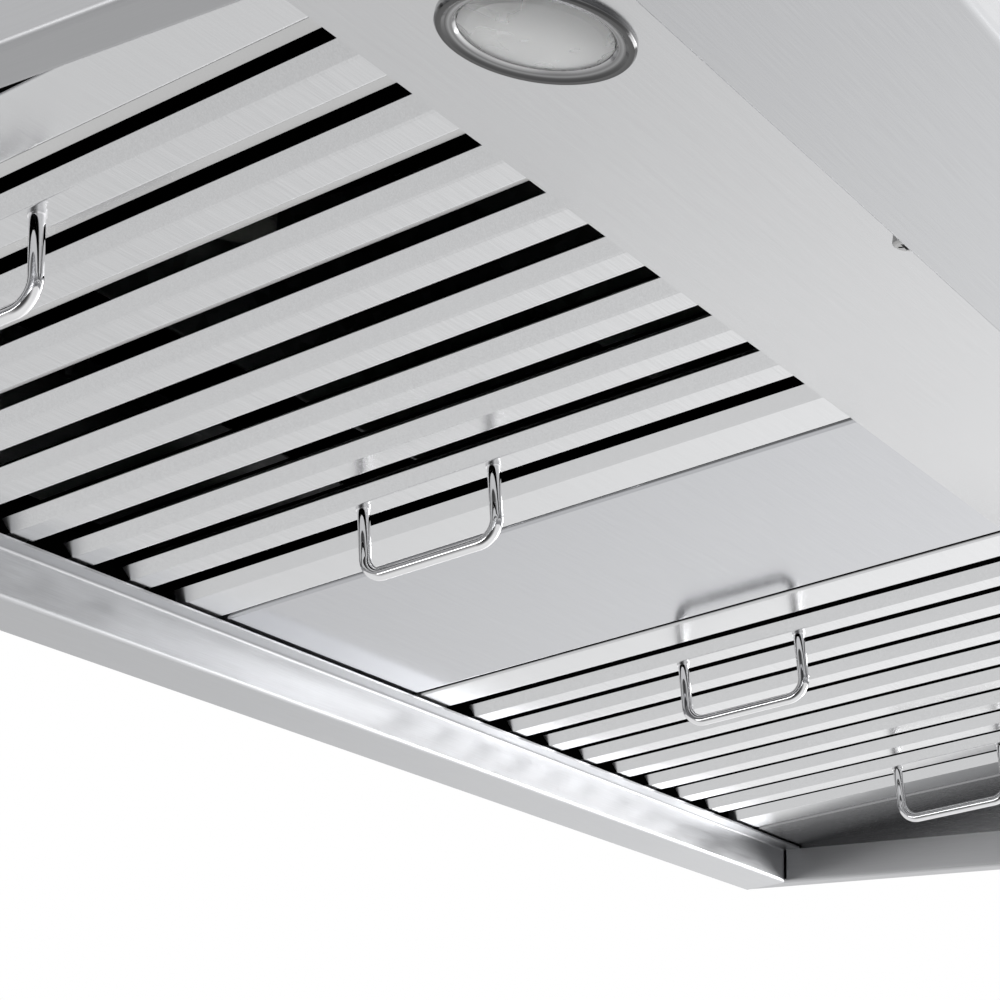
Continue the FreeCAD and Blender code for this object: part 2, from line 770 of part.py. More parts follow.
def arc_edge(centre, radius, start, sweep, x):
    points = []
    for angle in (start, start + sweep / 2, start + sweep):
        a = math.radians(angle)
        points.append(in_scroll(centre[0] + radius * math.cos(a), centre[1] + radius * math.sin(a), x))
    return Part.Arc(*points).toShape()


def scroll_outline(grow, x):
    """The closed outline of the volute and its outlet, grown by a thickness."""
    top = box_top - wheel_z
    quarters = volute_quarters()
    edges = [Part.LineSegment(in_scroll(-grow, top, x), arc_start(grow, x)).toShape()]
    for index, (centre, radius, start) in enumerate(quarters):
        skip = tongue_skip(grow) if index == 0 else 0
        edges.append(arc_edge(centre, radius + grow, start + skip, 90 - skip, x))
    last_centre, last_radius, _ = quarters[-1]
    rear = last_centre[0] + last_radius + grow
    edges.append(Part.LineSegment(in_scroll(rear, last_centre[1], x), in_scroll(rear, top, x)).toShape())
    edges.append(Part.LineSegment(in_scroll(rear, top, x), in_scroll(-grow, top, x)).toShape())
    return Part.Face(Part.Wire(edges))


def tongue_skip(grow):
    """The angle of the first quarter that the tongue's outer face cuts off."""
    return math.degrees(math.asin(grow / (volute_radius + grow)))


def arc_start(grow, x):
    angle = math.radians(90 + tongue_skip(grow))
    return in_scroll((volute_radius + grow) * math.cos(angle), (volute_radius + grow) * math.sin(angle), x)


def make_scroll():
    width = Vector(2 * scroll_half, 0, 0)
    outer = scroll_outline(sheet, -scroll_half).extrude(width)
    inner = scroll_outline(0, -scroll_half).extrude(width)
    save("scroll_wrap", outer.cut(inner))
    plate = scroll_outline(sheet, scroll_half).extrude(Vector(sheet, 0, 0))
    flange = block(scroll_half, scroll_half + scroll_flange, wheel_y, wheel_y + volute_radius,
                   box_top - sheet, box_top)
    throat = inlet_throat / 2
    start = scroll_half + sheet
    profile = [(throat + inlet_bell_flare, start), (throat, start - inlet_bell_depth * 0.5),
               (throat, start - inlet_bell_depth), (throat + sheet, start - inlet_bell_depth),
               (throat + sheet, start - inlet_bell_depth * 0.5),
               (throat + inlet_bell_flare + 2 * sheet, start - sheet),
               (throat + inlet_bell_flare + 2 * sheet, start)]
    wire = Part.makePolygon([in_scroll(0, r, x) for r, x in profile + profile[:1]])
    bell = Part.Face(wire).revolve(in_scroll(0, 0), Vector(1, 0, 0), 360)
    opening = rod(throat + inlet_bell_flare, tuple(in_scroll(0, 0, 0)), tuple(in_scroll(0, 0, 2 * start)))
    save("scroll_inlet_side", fused([fused([plate, flange]).cut(opening), bell]))
    motor_side = mirrored_x(fused([plate, flange]))
    shaft_hole = rod(shaft_diameter, tuple(in_scroll(0, 0, -2 * start)), tuple(in_scroll(0, 0, 0)))
    save("scroll_motor_side", motor_side.cut(shaft_hole))


def make_motor():
    face = -scroll_half - sheet - motor_gap
    back = face - motor_length
    bore = shaft_diameter / 2 + shaft_clearance
    radius = motor_diameter / 2
    body = rod(radius, tuple(in_scroll(0, 0, face)), tuple(in_scroll(0, 0, back)))
    body = body.makeFillet(motor_edge, [body.Edges[0]])
    body = body.cut(rod(bore, tuple(in_scroll(0, 0, face + 1)), tuple(in_scroll(0, 0, back - 1))))
    save("motor_housing", body)
    bell_radius = end_bell_diameter / 2
    bell = rod(bell_radius, tuple(in_scroll(0, 0, back)), tuple(in_scroll(0, 0, back - end_bell_length)))
    bell = bell.makeFillet(end_bell_edge, [bell.Edges[2]])
    bell = bell.cut(rod(bore, tuple(in_scroll(0, 0, back + 1)),
                        tuple(in_scroll(0, 0, back - end_bell_length / 2))))
    vents = []
    for u, v in ring_points(vent_count, vent_circle / 2, 0, (0, 0)):
        vents.append(rod(vent_diameter / 2, tuple(in_scroll(u, v, back - end_bell_length - 1)),
                         tuple(in_scroll(u, v, back - end_bell_length / 2))))
    save("motor_end_bell", with_holes(bell, vents))
    bushes = []
    for u, v in ring_points(motor_bush_count, motor_bush_circle / 2, math.pi / 4, (0, 0)):
        bushes.append(rod(motor_bush_diameter / 2, tuple(in_scroll(u, v, face)),
                          tuple(in_scroll(u, v, face + motor_gap))))
    save("motor_bushes", *bushes)
    end = -wheel_width / 2 + hub_length + 2 * sheet
    start = back - end_bell_length / 2 + fit_gap
    save("motor_shaft", rod(shaft_diameter / 2, tuple(in_scroll(0, 0, start)), tuple(in_scroll(0, 0, end))))
    can_y = box_rear_y - capacitor_diameter / 2 - fit_gap
    can_z = wheel_z - capacitor_length / 2
    can = rod(capacitor_diameter / 2, (capacitor_x, can_y, can_z),
              (capacitor_x, can_y, can_z + capacitor_length))
    save("capacitor", can.makeFillet(capacitor_edge, [can.Edges[0], can.Edges[2]]))


def make_impeller():
    """A forward curved wheel: back plate with hub, blades, and a ring at the inlet side."""
    back = -wheel_width / 2
    bore = shaft_diameter / 2 + shaft_clearance
    plate = rod(wheel_radius, tuple(in_scroll(0, 0, back)), tuple(in_scroll(0, 0, back + wheel_plate)))
    hub = rod(hub_diameter / 2, tuple(in_scroll(0, 0, back)), tuple(in_scroll(0, 0, back + hub_length)))
    hole = rod(bore, tuple(in_scroll(0, 0, back - 1)), tuple(in_scroll(0, 0, back + 2 * hub_length)))
    save("impeller_back_plate", fused([plate, hub]).cut(hole))
    front = wheel_width / 2
    ring_inner = wheel_radius - blade_depth
    save("impeller_ring", tube(wheel_radius, ring_inner, tuple(in_scroll(0, 0, front - wheel_plate)),
                               tuple(in_scroll(0, 0, front))))
    blade = blade_solid(back + wheel_plate, front - wheel_plate)
    axis = Vector(1, 0, 0)
    save("impeller_blades", *[blade.rotated(in_scroll(0, 0), axis, k * 360 / blade_count)
                              for k in range(blade_count)])


def blade_solid(x0, x1):
    """One blade: a thin arc from the eye to the rim that leans into the turn."""
    def polar(radius, degrees):
        a = math.radians(degrees)
        return in_scroll(radius * math.cos(a), radius * math.sin(a), x0)
    inner = wheel_radius - blade_depth + fit_gap
    outer = wheel_radius - fit_gap
    middle = (inner + outer) / 2
    thick = math.degrees(blade_sheet / middle)
    edges = [Part.Arc(polar(inner, 0), polar(middle, blade_bulge), polar(outer, blade_lead)),
             Part.LineSegment(polar(outer, blade_lead), polar(outer, blade_lead + thick)),
             Part.Arc(polar(outer, blade_lead + thick), polar(middle, blade_bulge + thick),
                      polar(inner, thick)),
             Part.LineSegment(polar(inner, thick), polar(inner, 0))]
    face = Part.Face(Part.Wire([edge.toShape() for edge in edges]))
    return face.extrude(Vector(x1 - x0, 0, 0))


# ---------- duct collar and damper ----------
def make_collar():
    centre = (0, box_centre_y)

    def ring(outer, inner, low, high):
        return tube(outer, inner, (*centre, low), (*centre, high))
    flange_radius = duct_radius + collar_flange
    wall = ring(duct_radius, duct_inner, collar_base, collar_base + collar_height)
    foot = ring(flange_radius, duct_inner, collar_base, collar_base + collar_sheet)
    seat_top = damper_z - damper_sheet / 2 - damper_clearance
    seat = ring(duct_inner + collar_sheet / 2, duct_inner - damper_seat, seat_top - collar_sheet, seat_top)
    seat = seat.cut(block(-duct_radius, duct_radius, box_centre_y - damper_knuckle,
                          box_centre_y + damper_knuckle, collar_base, damper_z))
    pin_hole = rod(damper_pin / 2 + shaft_clearance, (-duct_radius - 1, box_centre_y, damper_z),
                   (duct_radius + 1, box_centre_y, damper_z))
    holes = [screw_hole(x, y, collar_base, 3 * sheet) for x, y in collar_screw_places()]
    save("duct_collar", with_holes(fused([wall, foot, seat]), holes + [pin_hole]))
    gasket = ring(flange_radius, duct_inner, box_top + sheet, collar_base)
    save("collar_gasket", with_holes(gasket, holes))
    reach = math.sqrt(duct_radius ** 2 - (damper_pin / 2) ** 2) - fit_gap
    save("damper_pin", rod(damper_pin / 2, (-reach, box_centre_y, damper_z),
                           (reach, box_centre_y, damper_z)))


def make_damper_flaps():
    """Two half discs on one pin, with knuckles that alternate along it."""
    radius = duct_inner - damper_rim_gap
    half = damper_sheet / 2
    pitch = damper_knuckle_length + 2 * damper_clearance
    axis_low = (0, box_centre_y, damper_z)
    for name, side, places in (("front", -1, front_knuckle_places), ("rear", 1, rear_knuckle_places)):
        disc = rod(radius, (0, box_centre_y, damper_z - half), (0, box_centre_y, damper_z + half))
        y0, y1 = sorted((box_centre_y + side * damper_hinge_gap, box_centre_y + side * duct_radius))
        plate = disc.common(block(-radius, radius, y0, y1, damper_z - half, damper_z + half))
        pieces = [plate]
        for place in places:
            x = place * pitch
            low, high = x - damper_knuckle_length / 2, x + damper_knuckle_length / 2
            pieces.append(rod(damper_knuckle / 2, (low, *axis_low[1:]), (high, *axis_low[1:])))
            y2, y3 = sorted((box_centre_y, box_centre_y + side * (damper_hinge_gap + 1)))
            pieces.append(block(low, high, y2, y3, damper_z - half, damper_z + half))
        bore = rod(damper_pin / 2 + shaft_clearance, (-radius, *axis_low[1:]), (radius, *axis_low[1:]))
        save("damper_flap_" + name, fused(pieces).cut(bore))


# ---------- junction box ----------
def make_junction_box():
    x0, x1 = junction_x, junction_x + junction_length
    y0, y1 = junction_y, junction_y + junction_depth
    z0, z1 = panel_top, panel_top + junction_height
    middle_y = (y0 + y1) / 2
    middle_z = (z0 + z1) / 2
    case = block(x0, x1, y0, y1, z0, z1).cut(
        block(x0 + sheet, x1 - sheet, y0 + sheet, y1 - sheet, z0 + sheet, z1 + sheet))
    knockout = knockout_diameter / 2
    case = case.cut(rod(knockout, (x1 - 2 * sheet, middle_y, middle_z), (x1 + sheet, middle_y, middle_z)))
    save("junction_box", case)
    cover = block(x0 - sheet, x1 + sheet, y0 - sheet, y1 + sheet, z1, z1 + sheet)
    skirt_low = z1 - cover_skirt
    skirt = block(x0 - sheet, x1 + sheet, y0 - sheet, y1 + sheet, skirt_low, z1 + sheet).cut(
        block(x0, x1, y0, y1, skirt_low - 1, z1 + 2 * sheet))
    save("junction_box_cover", fused([cover, skirt]))
    neck = knockout - seat_gap
    body = rod(neck, (x1 - sheet - gland_head / 3, middle_y, middle_z), (x1, middle_y, middle_z))
    head_points = ring_points(6, gland_nut / 2, 0, (middle_y, middle_z))
    wire = Part.makePolygon([Vector(x1, y, z) for y, z in head_points + head_points[:1]])
    head = Part.Face(wire).extrude(Vector(gland_head / 2, 0, 0))
    dome = rod(neck, (x1 + gland_head / 2, middle_y, middle_z), (x1 + gland_head, middle_y, middle_z))
    dome = dome.makeFillet(gland_edge, [dome.Edges[0]])
    bore = rod(gland_bore / 2, (x0, middle_y, middle_z), (x1 + 2 * gland_head, middle_y, middle_z))
    save("cable_gland", fused([body, head, dome]).cut(bore))


# ---------- fasteners ----------
def make_fasteners():
    save("lamp_panel_screws", *[placed(screw(x, v, 0, -1), lamp_place) for x, v in lamp_screw_places()])
    screws = [screw(x, y, panel_top) for x, y in lip_screw_places()]
    screws += [screw(x, y, panel_top + sheet) for x, y in box_screw_places()]
    screws += [screw(x, y, collar_base + collar_sheet) for x, y in collar_screw_places()]
    save("sheet_screws", *screws)


def main():
    os.makedirs("parts", exist_ok=True)
    make_shells()
    make_top_panels()
    make_lamp_panel()
    make_blank_panel()
    make_side_fillers()
    make_filters()
    make_lamp("left", -lamp_spacing / 2)
    make_lamp("right", lamp_spacing / 2)
    make_controls()
    make_motor_box()
    make_scroll()
    make_motor()
    make_impeller()
    make_collar()
    make_damper_flaps()
    make_junction_box()
    make_fasteners()


main()
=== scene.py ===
"""Looks for the range hood insert: a material for every piece, camera, sky, lights and floor."""
import json
import math

import bpy
from mathutils import Matrix, Vector


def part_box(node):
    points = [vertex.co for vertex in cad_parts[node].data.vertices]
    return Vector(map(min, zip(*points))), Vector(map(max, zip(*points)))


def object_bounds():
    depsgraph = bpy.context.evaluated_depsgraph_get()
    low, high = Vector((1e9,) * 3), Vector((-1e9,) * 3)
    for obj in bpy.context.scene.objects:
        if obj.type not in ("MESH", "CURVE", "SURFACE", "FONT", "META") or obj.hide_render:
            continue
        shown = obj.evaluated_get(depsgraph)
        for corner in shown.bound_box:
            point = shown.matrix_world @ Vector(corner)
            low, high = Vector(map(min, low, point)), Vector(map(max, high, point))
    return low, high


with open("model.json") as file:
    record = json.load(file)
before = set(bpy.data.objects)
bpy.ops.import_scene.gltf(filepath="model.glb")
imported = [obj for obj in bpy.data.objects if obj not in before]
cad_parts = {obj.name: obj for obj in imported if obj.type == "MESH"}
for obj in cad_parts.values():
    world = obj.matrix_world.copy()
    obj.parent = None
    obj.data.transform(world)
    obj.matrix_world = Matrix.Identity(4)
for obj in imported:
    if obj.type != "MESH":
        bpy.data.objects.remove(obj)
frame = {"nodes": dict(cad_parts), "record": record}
cad_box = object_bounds()

# The photograph's camera: its place in metres, its right and up directions, its focal length in pixels
CAMERA_PLACE = Vector((-0.8127, -0.4340, -0.26734))
CAMERA_RIGHT = Vector((0.5590, -0.8285, 0.0344))
CAMERA_UP = Vector((-0.2974, -0.1616, 0.9410))
CAMERA_FOCAL = 2281.07
PHOTO_SIZE = 1000
SENSOR_MM = 36.0

# The studio: a pale floor far below the hood and a soft sky of broad patches of light
FLOOR_HEIGHT = -4.0
FLOOR_HALF = 14.0
FLOOR_COLOUR = (0.80, 0.80, 0.79)
SKY_BASE = 0.80
BACKDROP = 1.0
# Direction, degrees from the patch's middle to its edge, and the light that it adds or takes away
SKY_PATCHES = {
    "bright right": ((1.0, -0.25, 0.05), 65, 0.52),
    "dark left": ((-0.95, -0.05, -0.3), 55, -0.74),
    "above": ((-0.2, 0.2, 1.0), 70, 0.45),
    "below": ((0.0, -0.2, -1.0), 52, 0.08),
}
# Soft boxes: direction from the hood, distance and size in metres, and the light in watts
SOFT_BOXES = {
    "front_right_softbox": ((2.95, -1.05, -0.5), 3.1, (1.7, 1.2), 50.0),
    "low_left_softbox": ((-0.88, 0.43, -0.06), 3.0, (1.2, 0.4), 8.0),
}

METAL = 1.0
# How fine each texture is, per metre
CLOUD_SCALE = 7.0
ZINC_CLOUD_SCALE = 9.0
PAINT_CLOUD_SCALE = 25.0
RIPPLE_SCALE = 60.0
HAZE_SCALE = 90.0
CRYSTAL_SCALE = 110.0
GRAIN_ALONG = 45.0
GRAIN_ACROSS = 2400.0
NOISE_ROUGHNESS = 0.55
# The grain is made of hairs and of bands, which are so many times coarser; their shares add up to 1
BAND_COARSENESS = 6
HAIR_SHARE = 0.8
BAND_SHARE = 0.2
# A small lean off the axis, so that a face that looks straight along the grain still has a direction
GRAIN_LEAN = 0.01

# Painted shade, not soot: nearly black and dull, and its low IOR keeps it free of gloss where it isn't metal
PAINTED_SHADE_COLOUR = (0.002, 0.002, 0.002)
PAINTED_SHADE_ROUGHNESS = 0.8
PAINTED_SHADE_IOR = 1.05
# How softly the painted shade ends: in the turn of a face, as a cosine, and in height, in metres
PAINTED_SHADE_BLUR = 0.1
PAINTED_SHADE_FADE = 0.001
# The frames' steel is free of painted shade up to this height above the filters' underside, and painted
# black above it, where the filters' inside lies in shade
PAINTED_SHADE_HEIGHT = 0.009
# More than the whole hood's height, for steel that is free of painted shade at every height
NO_LIMIT = 1.0
# The filter frames' own height, without the rise of their slope
FILTER_HEIGHT = 0.0214
# The turn from the unshaded side at which a face is fully painted black as shade, as a cosine: 66 and 32
# degrees
WIDE_REACH = 0.4
NARROW_REACH = 0.85

# The bezels' painted rings of highlight and shade: distance from the lamp's middle in metres, and the tone
# painted there
PAINTED_LAMP_RINGS = (
    (0.0174, 0.75), (0.0188, 0.95), (0.0203, 0.45), (0.0213, 0.65), (0.0222, 0.25), (0.0230, 0.38),
    (0.0238, 0.12), (0.0264, 0.07), (0.0270, 0.50),
)
# Nodes with a finish of their own, apart from their slot in the record; several of these are painted light
# or shade (see the steels below)
NODE_FINISHES = {
    "left_shell": "side_steel", "right_shell": "wall_steel", "left_filler_panel": "side_steel",
    "right_filler_panel": "filler_steel", "rear_shell": "rear_steel", "lamp_panel": "panel_steel",
    "blank_panel": "blank_steel", "left_filter_frame": "frame_steel", "right_filter_frame": "frame_steel",
    "left_filter_upper_baffles": "dulled_steel", "right_filter_upper_baffles": "black_steel",
    "top_panels": "canopy_steel",
}


# ---------- node helpers ----------
def new_material(name, metallic=0.0):
    material = bpy.data.materials.new(name)
    material.use_nodes = True
    nodes = material.node_tree.nodes
    shader_of(nodes).inputs["Metallic"].default_value = metallic
    return material, nodes, material.node_tree.links


def shader_of(nodes):
    return nodes["Principled BSDF"]


def stretched(nodes, links, scales):
    """Object coordinates, stretched by a scale along each axis."""
    place = nodes.new("ShaderNodeTexCoord")
    mapping = nodes.new("ShaderNodeMapping")
    mapping.inputs["Scale"].default_value = scales
    links.new(place.outputs["Object"], mapping.inputs["Vector"])
    return mapping.outputs["Vector"]


def noise(nodes, links, scales, scale=1.0, detail=2.0):
    texture = nodes.new("ShaderNodeTexNoise")
    texture.inputs["Scale"].default_value = scale
    texture.inputs["Detail"].default_value = detail
    texture.inputs["Roughness"].default_value = NOISE_ROUGHNESS
    links.new(stretched(nodes, links, scales), texture.inputs["Vector"])
    return texture.outputs["Fac"]


def even_noise(nodes, links, scale, detail=2.0):
    """Noise that is alike along all three axes."""
    return noise(nodes, links, (1, 1, 1), scale, detail)


def ranged(nodes, links, value, low, high, start=0.3, end=0.7):
    """Low up to start, high from end on, and a straight rise between them."""
    node = nodes.new("ShaderNodeMapRange")
    node.inputs["From Min"].default_value = start
    node.inputs["From Max"].default_value = end
    node.inputs["To Min"].default_value = low
    node.inputs["To Max"].default_value = high
    links.new(value, node.inputs["Value"])
    return node.outputs["Result"]


def joined(nodes, links, operation, first, second):
    node = nodes.new("ShaderNodeMath")
    node.operation = operation
    links.new(first, node.inputs[0])
    links.new(second, node.inputs[1])
    return node.outputs[0]


def compared(nodes, links, operation, vector, other):
    """A single value from a vector and a fixed one, such as their dot product or distance."""
    node = nodes.new("ShaderNodeVectorMath")
    node.operation = operation
    node.inputs[1].default_value = other
    links.new(vector, node.inputs[0])
    return node.outputs["Value"]


def shaded(nodes, links, colour, value, low, high):
    """A colour whose brightness varies with a value, from low to high times itself."""
    mix = nodes.new("ShaderNodeMix")
    mix.data_type = "RGBA"
    mix.inputs["A"].default_value = (*[c * low for c in colour], 1)
    mix.inputs["B"].default_value = (*[c * high for c in colour], 1)
    links.new(value, mix.inputs["Factor"])
    return mix.outputs["Result"]


def bumped(nodes, links, height, strength, distance):
    bump = nodes.new("ShaderNodeBump")
    bump.inputs["Strength"].default_value = strength
    bump.inputs["Distance"].default_value = distance
    links.new(height, bump.inputs["Height"])
    links.new(bump.outputs["Normal"], shader_of(nodes).inputs["Normal"])


# ---------- materials ----------
def brushed_steel(name, colour, grain, roughness=0.21, spread=0.04, anisotropy=0.6, lines=0.03):
    """Steel with a fine linear grain along one axis, faint clouds, and a gloss stretched across it."""
    material, nodes, links = new_material(name, METAL)
    shader = shader_of(nodes)
    fine = [GRAIN_ALONG if axis == grain else GRAIN_ACROSS for axis in "xyz"]
    hairs = noise(nodes, links, fine)
    bands = noise(nodes, links, [c / BAND_COARSENESS for c in fine])
    clouds = even_noise(nodes, links, CLOUD_SCALE, detail=3.0)
    streaks = joined(nodes, links, "ADD", ranged(nodes, links, hairs, 0, HAIR_SHARE),
                     ranged(nodes, links, bands, 0, BAND_SHARE))
    links.new(shaded(nodes, links, colour, streaks, 1 - lines, 1 + lines), shader.inputs["Base Color"])
    rough = joined(nodes, links, "ADD",
                   ranged(nodes, links, streaks, roughness - spread, roughness, start=0, end=1),
                   ranged(nodes, links, clouds, 0, spread))
    links.new(rough, shader.inputs["Roughness"])
    shader.inputs["Anisotropic"].default_value = anisotropy
    turn_gloss(nodes, links, grain)
    bumped(nodes, links, clouds, strength=0.02, distance=0.004)
    return material


def turn_gloss(nodes, links, grain):
    """Lays the stretched gloss square to the grain, on every face."""
    along = [0.0, 0.0, GRAIN_LEAN]
    along["xyz".index(grain)] = 1.0
    across = nodes.new("ShaderNodeVectorMath")
    across.operation = "CROSS_PRODUCT"
    across.inputs[1].default_value = along
    facing = nodes.new("ShaderNodeNewGeometry")
    links.new(facing.outputs["Normal"], across.inputs[0])
    links.new(across.outputs["Vector"], shader_of(nodes).inputs["Tangent"])


def filter_slope():
    """How much the filters' underside rises per metre towards the front, and its height at y 0."""
    low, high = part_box("left_filter_frame")
    slope = (high[2] - low[2] - FILTER_HEIGHT) / (high[1] - low[1])
    return slope, low[2] + slope * high[1]


def shade_painted_steel(name, colour, unshaded_side, reach, highest=NO_LIMIT):
    """Brushed steel with painted shade: black apart from the faces that look to one side, up to a height.

    The height is measured from the sloping underside of the filters.
    """
    material = brushed_steel(name, colour, "x")
    nodes, links = material.node_tree.nodes, material.node_tree.links
    shader = shader_of(nodes)
    place = nodes.new("ShaderNodeTexCoord")
    side = Vector(unshaded_side).normalized()
    turn = compared(nodes, links, "DOT_PRODUCT", place.outputs["Normal"], side)
    slope, start = filter_slope()
    height = compared(nodes, links, "DOT_PRODUCT", place.outputs["Object"], (0, slope, 1))
    top = start + highest
    # Painted shade: black on faces turned away from the unshaded side and above the height, where the inside
    # lies in shade
    painted_shade = joined(nodes, links, "MAXIMUM",
                  ranged(nodes, links, turn, 1, 0, start=reach, end=reach + PAINTED_SHADE_BLUR),
                  ranged(nodes, links, height, 0, 1, start=top, end=top + PAINTED_SHADE_FADE))
    covers = (("Base Color", "RGBA", (*PAINTED_SHADE_COLOUR, 1)), ("Roughness", "FLOAT", PAINTED_SHADE_ROUGHNESS))
    for socket, kind, value in covers:
        target = shader.inputs[socket]
        unshaded_value = target.links[0].from_socket
        cover = nodes.new("ShaderNodeMix")
        cover.data_type = kind
        cover.inputs["B"].default_value = value
        links.new(painted_shade, cover.inputs["Factor"])
        links.new(unshaded_value, cover.inputs["A"])
        links.new(cover.outputs["Result"], target)
    links.new(ranged(nodes, links, painted_shade, METAL, 0, start=0, end=1), shader.inputs["Metallic"])
    shader.inputs["IOR"].default_value = PAINTED_SHADE_IOR
    return material


def polished_chrome(name, colour, roughness):
    material, nodes, links = new_material(name, METAL)
    shader = shader_of(nodes)
    haze = even_noise(nodes, links, HAZE_SCALE)
    links.new(shaded(nodes, links, colour, haze, 0.97, 1.03), shader.inputs["Base Color"])
    links.new(ranged(nodes, links, haze, roughness, roughness + 0.04), shader.inputs["Roughness"])
    return material


def ring_painted_chrome(name, colour):
    """Chrome with the highlights and shade of rolled rings painted about each lamp, darker in the grooves
    and near the outer edge.

    Both lamps are taken as one, by their distances from the hood's two middle planes.
    """
    material, nodes, links = new_material(name, METAL)
    shader = shader_of(nodes)
    mirrored = nodes.new("ShaderNodeVectorMath")
    mirrored.operation = "ABSOLUTE"
    links.new(stretched(nodes, links, (1, 1, 0)), mirrored.inputs[0])
    low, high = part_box("right_lamp_bezel")
    middle = ((low[0] + high[0]) / 2, -(low[1] + high[1]) / 2, 0)
    radius = compared(nodes, links, "DISTANCE", mirrored.outputs["Vector"], middle)
    # The ramp paints the rings' highlights and shade into the base colour
    ramp = nodes.new("ShaderNodeValToRGB")
    stops = ramp.color_ramp.elements
    while len(stops) < len(PAINTED_LAMP_RINGS):
        stops.new(0.5)
    outside = PAINTED_LAMP_RINGS[-1][0]
    for stop, (distance, tone) in zip(stops, PAINTED_LAMP_RINGS):
        stop.position = distance / outside
        stop.color = (*[c * tone for c in colour], 1)
    links.new(ranged(nodes, links, radius, 0, 1, start=0, end=outside), ramp.inputs["Fac"])
    links.new(ramp.outputs["Color"], shader.inputs["Base Color"])
    haze = even_noise(nodes, links, HAZE_SCALE)
    links.new(ranged(nodes, links, haze, 0.12, 0.18), shader.inputs["Roughness"])
    return material


def galvanised(name, colour):
    """Zinc coated sheet: flat crystals of slightly different brightness."""
    material, nodes, links = new_material(name, METAL)
    shader = shader_of(nodes)
    crystals = nodes.new("ShaderNodeTexVoronoi")
    crystals.inputs["Scale"].default_value = CRYSTAL_SCALE
    links.new(stretched(nodes, links, (1, 1, 1)), crystals.inputs["Vector"])
    split = nodes.new("ShaderNodeSeparateColor")
    links.new(crystals.outputs["Color"], split.inputs["Color"])
    tone = split.outputs["Red"]
    links.new(shaded(nodes, links, colour, tone, 0.86, 1.12), shader.inputs["Base Color"])
    clouds = even_noise(nodes, links, ZINC_CLOUD_SCALE, detail=3.0)
    rough = joined(nodes, links, "ADD", ranged(nodes, links, tone, 0.30, 0.40, start=0, end=1),
                   ranged(nodes, links, clouds, 0, 0.08))
    links.new(rough, shader.inputs["Roughness"])
    bumped(nodes, links, clouds, strength=0.05, distance=0.001)
    return material


def cast_metal(name, colour, roughness, scale=900.0):
    material, nodes, links = new_material(name, METAL)
    shader = shader_of(nodes)
    grit = even_noise(nodes, links, scale)
    links.new(shaded(nodes, links, colour, grit, 0.9, 1.1), shader.inputs["Base Color"])
    links.new(ranged(nodes, links, grit, roughness - 0.05, roughness + 0.05), shader.inputs["Roughness"])
    bumped(nodes, links, grit, strength=0.15, distance=0.0002)
    return material


def plastic(name, colour, roughness, scale=1500.0, relief=0.12):
    """Moulded plastic, rubber, foam or paint with a fine surface texture."""
    material, nodes, links = new_material(name)
    shader = shader_of(nodes)
    grit = even_noise(nodes, links, scale)
    clouds = even_noise(nodes, links, PAINT_CLOUD_SCALE)
    links.new(shaded(nodes, links, colour, clouds, 0.88, 1.12), shader.inputs["Base Color"])
    links.new(ranged(nodes, links, grit, roughness - 0.06, roughness + 0.06), shader.inputs["Roughness"])
    bumped(nodes, links, grit, relief, distance=0.0003)
    return material


def lamp_glass(name, colour):
    """Frosted glass with a faint ripple."""
    material, nodes, links = new_material(name)
    shader = shader_of(nodes)
    ripple = even_noise(nodes, links, RIPPLE_SCALE)
    links.new(shaded(nodes, links, colour, ripple, 0.97, 1.0), shader.inputs["Base Color"])
    links.new(ranged(nodes, links, ripple, 0.22, 0.34), shader.inputs["Roughness"])
    shader.inputs["IOR"].default_value = 1.5
    shader.inputs["Transmission Weight"].default_value = 0.95
    bumped(nodes, links, ripple, strength=0.02, distance=0.0004)
    return material


DOWN, UP, LEFT_AND_DOWN = (0, 0, -1), (0, 0, 1), (-0.7, 0, -0.7)
BRUSHED_STEELS = {
    "shell_steel": dict(colour=(0.535, 0.54, 0.553), grain="x"),
    "rear_steel": dict(colour=(0.525, 0.53, 0.543), grain="x", roughness=0.40, spread=0.12, lines=0.07),
    # Lit and shaded copies of one steel: the left shell and filler darker as painted shade, the right shell
    # lighter as painted light, the right filler darker still as painted shade
    "side_steel": dict(colour=(0.42, 0.423, 0.433), grain="y", roughness=0.34, spread=0.06),
    "wall_steel": dict(colour=(0.60, 0.604, 0.616), grain="y", roughness=0.44, spread=0.06),
    "filler_steel": dict(colour=(0.32, 0.322, 0.33), grain="y", roughness=0.26, spread=0.04),
    "panel_steel": dict(colour=(0.61, 0.613, 0.623), grain="x"),
    "blank_steel": dict(colour=(0.53, 0.536, 0.556), grain="x", roughness=0.12, spread=0.03, anisotropy=0.4),
    "baffle_steel": dict(colour=(0.69, 0.694, 0.704), grain="x", lines=0.06),
    "wheel_aluminium": dict(colour=(0.7, 0.7, 0.71), grain="x", roughness=0.34, spread=0.06, anisotropy=0.3),
    "shaft_steel": dict(colour=(0.55, 0.55, 0.55), grain="x", roughness=0.3, spread=0.06, anisotropy=0.3),
    "button_steel": dict(colour=(0.66, 0.66, 0.67), grain="x", roughness=0.3, spread=0.05, anisotropy=0.5),
}
